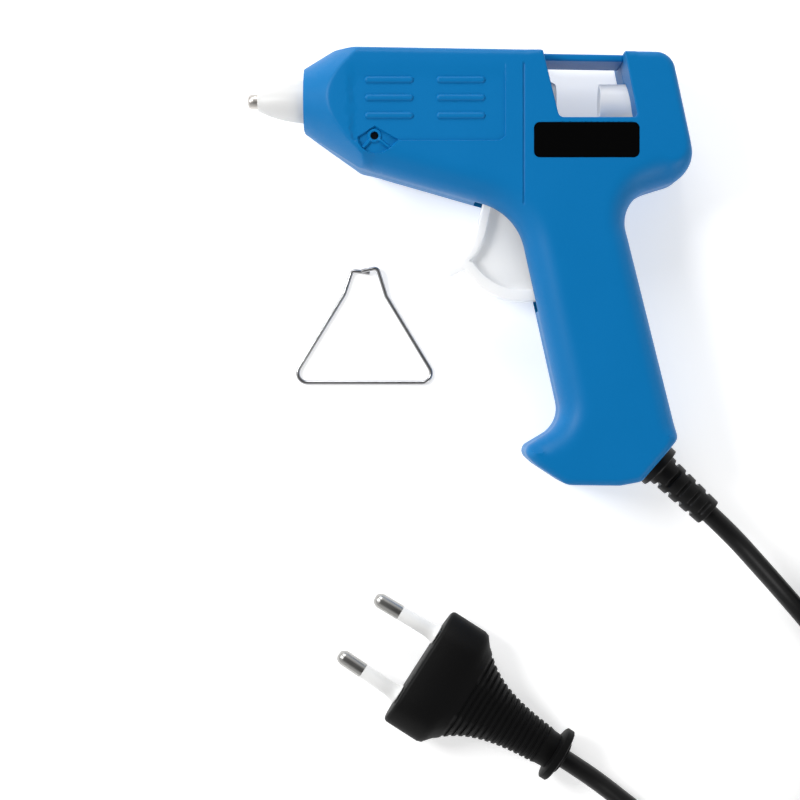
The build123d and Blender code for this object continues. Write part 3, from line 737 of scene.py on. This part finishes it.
def shell_side(name, side, labelled):
    """One half of the housing: rounded outside, hollow inside, open at the parting plane."""
    line, rounding = rounded_loop(OUTLINE)
    rounding = eased(rounding, line)
    flat, outer_faces = triangles(spread_points(line, labelled), [len(line)])
    height = side_height(flat, line, rounding, labelled)
    rim = rim_of(outer_faces)
    verts = [(x, y, z) for (x, y), z in zip(flat, height)]
    faces = list(outer_faces)

    rim_line = flat[rim]
    chamfered = offset_line(rim_line, 0.22)
    lip = len(verts)
    verts += [(x, y, 0.28) for x, y in rim_line] + [(x, y, 0.01) for x, y in chamfered]
    count = len(rim)
    for k in range(count):
        n = (k + 1) % count
        faces.append([rim[n], rim[k], lip + k, lip + n])
        faces.append([lip + n, lip + k, lip + count + k, lip + count + n])

    hollow = offset_line(line, WALL)
    clear, _ = from_line(hollow, line, np.zeros(len(line)))
    hollow = hollow[(clear > WALL * 0.985) & inside(hollow, line)]
    hollow = np.concatenate([hollow[:1]] + [hollow[k:k + 1] for k in range(1, len(hollow))
                                            if np.linalg.norm(hollow[k] - hollow[k - 1]) > 0.2])
    inner = [hollow] + inner_rings(line)
    flat_in, inner_faces = triangles(np.concatenate(inner), [len(hollow)])
    ceiling = np.clip(crown(flat_in, line, rounding) - WALL - 0.2, 0.4, HALF - WALL - 0.2)
    start = len(verts)
    verts += [(x, y, z) for (x, y), z in zip(flat_in, ceiling)]
    faces += [[start + v for v in reversed(f)] for f in inner_faces]
    inner_rim = rim_of(inner_faces)
    foot = len(verts)
    verts += [(x, y, 0.01) for x, y in flat_in[inner_rim]]
    count_in = len(inner_rim)
    for k in range(count_in):
        n = (k + 1) % count_in
        faces.append([start + inner_rim[k], start + inner_rim[n], foot + n, foot + k])

    both = np.concatenate((chamfered, flat_in[inner_rim]))
    flat_rim, rim_faces = triangles(both, [count, count_in])
    where = {}
    tree = KDTree(len(both))
    for n, q in enumerate(both):
        tree.insert((*q, 0), n)
    tree.balance()
    for n, q in enumerate(flat_rim):
        found = tree.find((*q, 0))[1]
        where[n] = lip + count + found if found < count else foot + found - count
    faces += [[where[v] for v in reversed(f)] for f in rim_faces]

    mesh = bpy.data.meshes.new(name)
    mesh.from_pydata([(x * MM, y * MM, (HALF + side * z) * MM) for x, y, z in verts], [], faces)
    piece = bpy.data.objects.new(name, mesh)
    bpy.context.scene.collection.objects.link(piece)
    only(piece)
    bpy.ops.object.mode_set(mode="EDIT")
    bpy.ops.mesh.select_all(action="SELECT")
    if side < 0:
        bpy.ops.mesh.flip_normals()
    bpy.ops.object.mode_set(mode="OBJECT")
    return piece


def inner_rings(line):
    normal = inward(line)
    zero = np.zeros(len(line))
    rings = []
    for depth in (2.5, 3.2, 4.2, 5.6, 7.2, 9.0):
        ring = (line + normal * depth)[::3]
        far, _ = from_line(ring, line, zero)
        rings.append(ring[(far > depth * 0.985) & inside(ring, line)])
    low, high = line.min(0), line.max(0)
    grid = np.stack(np.meshgrid(np.arange(low[0], high[0], 3.0), np.arange(low[1], high[1], 3.0)),
                    -1).reshape(-1, 2)
    far, _ = from_line(grid, line, zero)
    return rings + [grid[(far > 2.9) & inside(grid, line)]]


def rod(name, low, high, r, corners=48):
    """A cutter: round bar between two points in mm."""
    a, b = Vector(low) * MM, Vector(high) * MM
    bpy.ops.object.select_all(action="DESELECT")
    bpy.ops.mesh.primitive_cylinder_add(vertices=corners, radius=r * MM, depth=(b - a).length,
                                        location=(a + b) / 2,
                                        rotation=(b - a).to_track_quat("Z", "Y").to_euler())
    bpy.context.object.name = name
    bpy.ops.object.transform_apply(location=True, rotation=True, scale=True)
    return bpy.context.object


def prism(name, corners, low, high):
    """A cutter: flat polygon in mm between two heights."""
    mesh = bpy.data.meshes.new(name)
    count = len(corners)
    verts = [(x * MM, y * MM, z * MM) for z in (low, high) for x, y in corners]
    faces = [list(range(count))[::-1], list(range(count, 2 * count))]
    faces += [[k, (k + 1) % count, count + (k + 1) % count, count + k] for k in range(count)]
    mesh.from_pydata(verts, [], faces)
    piece = bpy.data.objects.new(name, mesh)
    bpy.context.scene.collection.objects.link(piece)
    only(piece)
    bpy.ops.object.mode_set(mode="EDIT")
    bpy.ops.mesh.select_all(action="SELECT")
    bpy.ops.mesh.normals_make_consistent(inside=False)
    bpy.ops.object.mode_set(mode="OBJECT")
    return piece


def cut(piece, cutters):
    """Takes the cutters out of a piece, one set at a time, and throws them away."""
    for cutter in cutters:
        change = piece.modifiers.new("cut", "BOOLEAN")
        change.operation, change.solver, change.object = "DIFFERENCE", "EXACT", cutter
        only(piece)
        bpy.ops.object.modifier_apply(modifier=change.name)
        bpy.data.objects.remove(cutter)


def joined(name, parts):
    """Several separate solids as one object."""
    only(parts[0])
    for part in parts:
        part.select_set(True)
    bpy.ops.object.join()
    parts[0].name = name
    return parts[0]


def along(distance, side=0.0):
    """Point on the strain relief's line, or beside it, in mm."""
    a = radians(RELIEF_ANGLE)
    return (RELIEF_START[0] + distance * cos(a) - side * sin(a),
            RELIEF_START[1] + distance * sin(a) + side * cos(a))


BARREL_Y = 42.6


def openings(side):
    """What is cut through one half: bores on the barrel's axis, the trigger's slot and the cord's way out."""
    def axis(x0, x1, r):
        return rod("bore", (x0, BARREL_Y, HALF), (x1, BARREL_Y, HALF), r, 64)

    gx0, gy0 = along(-6)
    gx1, gy1 = along(4)
    slot = [(1.0, 9), (1.0, 19.4), (9.5, 17.8), (15.4, 13), (20.9, -11.7), (9.6, -11.7), (4, 2)]
    low, high = (HALF - 1, HALF + 4.6) if side > 0 else (HALF - 4.6, HALF + 1)
    first = [axis(-43.8, -38.0, 6.0), axis(14, 22.4, 5.3), axis(37, 48, 4.8), axis(48.6, 60, 5.25),
             prism("slot", slot, low, high), rod("gland", (gx0, gy0, HALF), (gx1, gy1, HALF), 3.7),
             rod("stand_hole", (*STAND_HOLE, HALF + side * 8), (*STAND_HOLE, HALF + side * 14),
                 STAND_HOLE_R, 32)]
    leg = slab("leg_way", (35.8, 30.5, HALF - 3.6), (46, BARREL_Y, HALF + 3.6))
    return [joined("openings", first), leg]


def housing():
    left = shell_side("left_side", 1, True)
    cut(left, openings(1))
    right = shell_side("right_side", -1, False)
    cut(right, openings(-1))
    cut(right, [joined("screw_holes", [rod("hole", (x, y, -1), (x, y, 3.2), 2.7) for x, y in SCREWS])])
    for piece, node in ((left, "left_shell"), (right, "right_shell")):
        put(smooth(piece, 32), "housing", "blue_housing", node)
    wells = []
    for x, y in SCREWS:
        well = turned("well", [(0.25, 2.3), (0.05, 2.42), (0.05, 2.72), (12.3, 2.72), (12.3, 1.45),
                               (4.5, 1.45), (4.5, 2.3)], 40)
        well.data.transform(Matrix.Translation((x * MM, y * MM, 0)) @ Matrix.Rotation(-pi / 2, 4, "Y"))
        wells.append(well)
    screw_wells = joined("screw_wells", wells)
    bpy.ops.object.shade_smooth_by_angle(angle=radians(35))
    put(screw_wells, "housing", "blue_housing")
    rail = slab("top_rail", (17.4, 51.95, HALF - 6.9), (38.9, 53.75, HALF + 6.9))
    rail.data.transform(Matrix.Translation((0.028, 0.0528, 0)) @ Matrix.Rotation(radians(-0.96), 4, "Z")
                        @ Matrix.Translation((-0.028, -0.0528, 0)))
    put(rounded(rail, 0.6 * MM, 4), "housing", "blue_housing")


def label():
    x0, x1, y0, y1 = LABEL
    low = (x0 + LABEL_GAP, y0 + LABEL_GAP, 2 * HALF - LABEL_TOP - LABEL_THICK)
    piece = slab("blank_label_plate", low, (x1 - LABEL_GAP, y1 - LABEL_GAP, 2 * HALF - LABEL_TOP))
    bpy.ops.object.mode_set(mode="EDIT")
    bpy.ops.mesh.select_mode(type="EDGE")
    bpy.ops.mesh.select_all(action="DESELECT")
    bpy.ops.object.mode_set(mode="OBJECT")
    for edge in piece.data.edges:
        a, b = (piece.data.vertices[v].co for v in edge.vertices)
        edge.select = abs(a.z - b.z) > 0.0001
    bpy.ops.object.mode_set(mode="EDIT")
    bpy.ops.mesh.bevel(offset=LABEL_R * MM, segments=12)
    bpy.ops.mesh.select_mode(type="VERT")
    bpy.ops.object.mode_set(mode="OBJECT")
    put(rounded(piece, 0.06 * MM, 2), "housing", "black_label", "blank_label")


# ------------------------------------------------------------------ hot end and feed

def on_barrel(piece):
    return shifted(piece, (0, BARREL_Y * MM, HALF * MM))


def nozzle():
    tip = turned("nozzle_metal_tip", [(-57.3, 0.9), (-57.3, 1.35), (-57.1, 1.6), (-56.7, 1.8), (-55.6, 1.9),
                                      (-54.2, 1.95), (-44.0, 3.6), (-40.2, 3.6), (-40.2, 2.9), (-34.2, 2.9),
                                      (-34.2, 2.0), (-48.0, 2.0), (-53.0, 0.9)])
    put(smooth(on_barrel(tip), 35), "housing", "nozzle_metal", "nozzle_tip")
    cover = turned("nozzle_sleeve", [(-54.7, 1.97), (-54.85, 2.15), (-54.8, 2.42), (-54.5, 2.62),
                                     (-53.4, 3.12), (-52.2, 3.65), (-51.0, 4.05), (-49.8, 4.42),
                                     (-48.6, 4.75), (-47.2, 5.05),
                                     (-45.8, 5.3), (-44.4, 5.46), (-43.2, 5.56), (-41.4, 5.6), (-40.6, 5.6),
                                     (-40.6, 3.65), (-44.0, 3.65), (-54.2, 1.97)])
    put(smooth(on_barrel(cover), 50), "housing", "white_silicone", "nozzle_cover")


def feed():
    for node, name, width in (("inlet_sleeve", "silicone_inlet_sleeve", 0.25),
                              ("inlet_ring", "stick_guide", 0.3)):
        piece = rounded(copy_of(node, name), width * MM, 3, 35)
        put(piece, "housing", "white_silicone" if node == "inlet_sleeve" else "white_plastic", node)
    carriage = rounded(copy_of("feed_carriage", "stick_carriage"), 0.3 * MM, 3, 35)
    put(carriage, "carriage", "white_plastic", "feed_carriage")
    put(softened("trigger", "pull_trigger", 0.26 * MM, 5), "trigger", "white_plastic", "trigger")
    spring = copy_of("return_spring", "carriage_spring")
    only(spring)
    bpy.ops.object.shade_smooth_by_angle(angle=radians(50))
    spring.data.materials.clear()
    spring.data.materials.append(FINISH["steel"].material)
    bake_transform(spring)
    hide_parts("return_spring")


# ------------------------------------------------------------------ plug, relief, stand

PLUG_FACE, PLUG_ANGLE, PLUG_HALF, PLUG_LENGTH = (-13.4, -103.7), -32.7, 6.85, 45.0
PIN_PITCH, PIN_TILT = 18.6, 0.0263
GRIP_FIRST, GRIP_PITCH, GRIPS = 14.2, 1.6, 15


def plug_half_width(u):
    return 17.0 if u <= 11.2 else 4.7 + 12.3 * exp(-(u - 11.2) / 9.0)


def plug_half_height(u):
    return PLUG_HALF if u <= 11.2 else max(4.2, PLUG_HALF - (u - 11.2) * 0.081)


def plug_stations():
    """Place along the plug, half its width and height, and how far the section has become round."""
    found = [(0.0, 16.2, 6.1), (0.25, 16.7, 6.55), (0.9, 17.0, PLUG_HALF), (10.2, 17.0, PLUG_HALF),
             (11.4, 16.6, 6.8), (12.4, 15.3, 6.75), (13.3, 14.2, 6.68)]
    for k in range(GRIPS):
        u = GRIP_FIRST + k * GRIP_PITCH
        for ahead, sunk in ((0.0, 0.0), (0.55, 0.0), (0.75, 0.38), (1.25, 0.38), (1.45, 0.0)):
            w, h = plug_half_width(u + ahead), plug_half_height(u + ahead)
            found.append((u + ahead, w - sunk, h - sunk * 0.8))
    found += [(39.2, 4.95, 4.6), (41.6, 4.8, 4.5), (41.9, 7.0, 6.1), (42.2, 7.4, 6.5), (43.8, 7.4, 6.5),
              (44.1, 7.0, 6.1), (44.3, 4.6, 4.4), (44.9, 4.3, 4.2), (PLUG_LENGTH, 3.9, 3.8)]
    return [(u, w, h, min(1.0, max(0.0, (u - 11.4) / 16.0))) for u, w, h in found]


def plug_section(w, h, share, corners=64):
    """One ring of the plug: a flattened hexagon at its face, round at its neck."""
    ring = []
    edge = [(1.0, 0.36), (0.64, 1.0)]  # corner of the hexagon as shares of the half width and height
    for k in range(corners):
        t = 2 * pi * (k + 0.5) / corners
        cy, cz = abs(cos(t)) + 1e-9, abs(sin(t)) + 1e-9
        # the ray's length to the side flat, the slope and the top flat of the hexagon, then softened
        (ya, za), (yb, zb) = edge
        side = 1.0 / cy
        top = 1.0 / cz
        slope = (ya * (zb - za) + za * (ya - yb)) / (cy * (zb - za) + cz * (ya - yb))
        hexagon = (side ** -14 + top ** -14 + slope ** -14) ** (-1 / 14)
        r = hexagon * (1 - share) + share
        ring.append((cos(t) * r * w, sin(t) * r * h))
    return ring


def in_plug(piece):
    return shifted(piece, (PLUG_FACE[0] * MM, PLUG_FACE[1] * MM, PLUG_HALF * MM), radians(PLUG_ANGLE))


def plug():
    verts, faces = [], []
    stations = plug_stations()
    corners = 64
    for u, w, h, share in stations:
        verts += [(u * MM, y * MM, z * MM) for y, z in plug_section(w, h, share, corners)]
    for s in range(len(stations) - 1):
        for k in range(corners):
            n = (k + 1) % corners
            faces.append([s * corners + k, s * corners + n, (s + 1) * corners + n, (s + 1) * corners + k])
    faces.append(list(range(corners))[::-1])
    faces.append([(len(stations) - 1) * corners + k for k in range(corners)])
    mesh = bpy.data.meshes.new("plug_moulding")
    mesh.from_pydata(verts, [], faces)
    body = bpy.data.objects.new("plug_moulding", mesh)
    bpy.context.scene.collection.objects.link(body)
    only(body)
    bpy.ops.object.mode_set(mode="EDIT")
    bpy.ops.mesh.select_all(action="SELECT")
    bpy.ops.mesh.normals_make_consistent(inside=False)
    bpy.ops.object.mode_set(mode="OBJECT")
    bpy.ops.object.shade_smooth_by_angle(angle=radians(50))
    put(in_plug(body), "housing", "black_plug", "plug_body")
    pins, sleeves = [], []
    for side in (1, -1):
        pin = turned("pin", [(-19.0, 0.5), (-18.93, 1.0), (-18.6, 1.4), (-18.1, 1.72), (-17.6, 1.92),
                             (-17.2, 2.0), (-11.4, 2.0), (-11.4, 1.5), (7.9, 1.5)], 48, closed=False)
        sleeve = turned("sleeve", [(-11.35, 1.52), (-11.4, 1.75), (-11.3, 1.93), (-3.4, 1.97), (-2.4, 2.05),
                                   (-1.4, 2.3), (-0.7, 2.62), (-0.5, 2.75), (-0.35, 2.75), (-0.35, 1.52)], 48)
        for made, group in ((pin, pins), (sleeve, sleeves)):
            only(made)
            bpy.ops.object.shade_smooth_by_angle(angle=radians(40))
            group.append(in_plug(shifted(made, (0, side * PIN_PITCH / 2 * MM, 0), side * PIN_TILT)))
    pins, sleeves = joined("contact_pins", pins), joined("pin_insulation", sleeves)
    put(pins, "housing", "pin_metal", "plug_pins")
    put(sleeves, "housing", "white_pin_sleeve", "plug_pin_sleeves")
    return [body, pins, sleeves]


def loose_parts():
    relief = softened("strain_relief", "cord_boot", 0.20 * MM, 3)
    put(relief, "housing", "black_cord", "strain_relief")
    tie = rounded(copy_of("coil_tie", "hook_and_loop_tie"), 0.5 * MM, 3, 35)
    put(tie, "housing", "black_plastic", "coil_tie")
    stand = copy_of("wire_stand", "bent_wire_stand")
    put(rounded(stand, 0.15 * MM, 2, 60), "stand", "stand_wire", "wire_stand")
    return relief, tie


# ------------------------------------------------------------------ floor, and all of it together

def floor():
    bpy.ops.object.select_all(action="DESELECT")
    bpy.ops.mesh.primitive_plane_add(size=3.0, location=(0, 0, -0.00005))
    sheet = bpy.context.object
    sheet.name = "table"
    paper = Finish("pale_table", Emission_Color=(1, 1, 1, 1), Emission_Strength=0.46, Roughness=0.9)
    cloud = paper.noise(0.2, 2.0)
    paper.feed(Base_Color=paper.mix(cloud, (0.86, 0.86, 0.86), (0.88, 0.88, 0.88)))
    sheet.data.materials.append(paper.material)


camera()
studio()
FINISH = finishes()
record = frame["record"]
for part in record["subparts"]:
    node = nodes[part["node"]]
    node.data.materials.clear()
    node.data.materials.append(FINISH[part["material_slot"]].material)

cord = mains_cord()
put(cord, "housing", "black_cord", "cord_run_gun", "cord_coil", "cord_run_plug")
plug_pieces = plug()
boot, tie = loose_parts()
housing()
label()
nozzle()
feed()
floor()
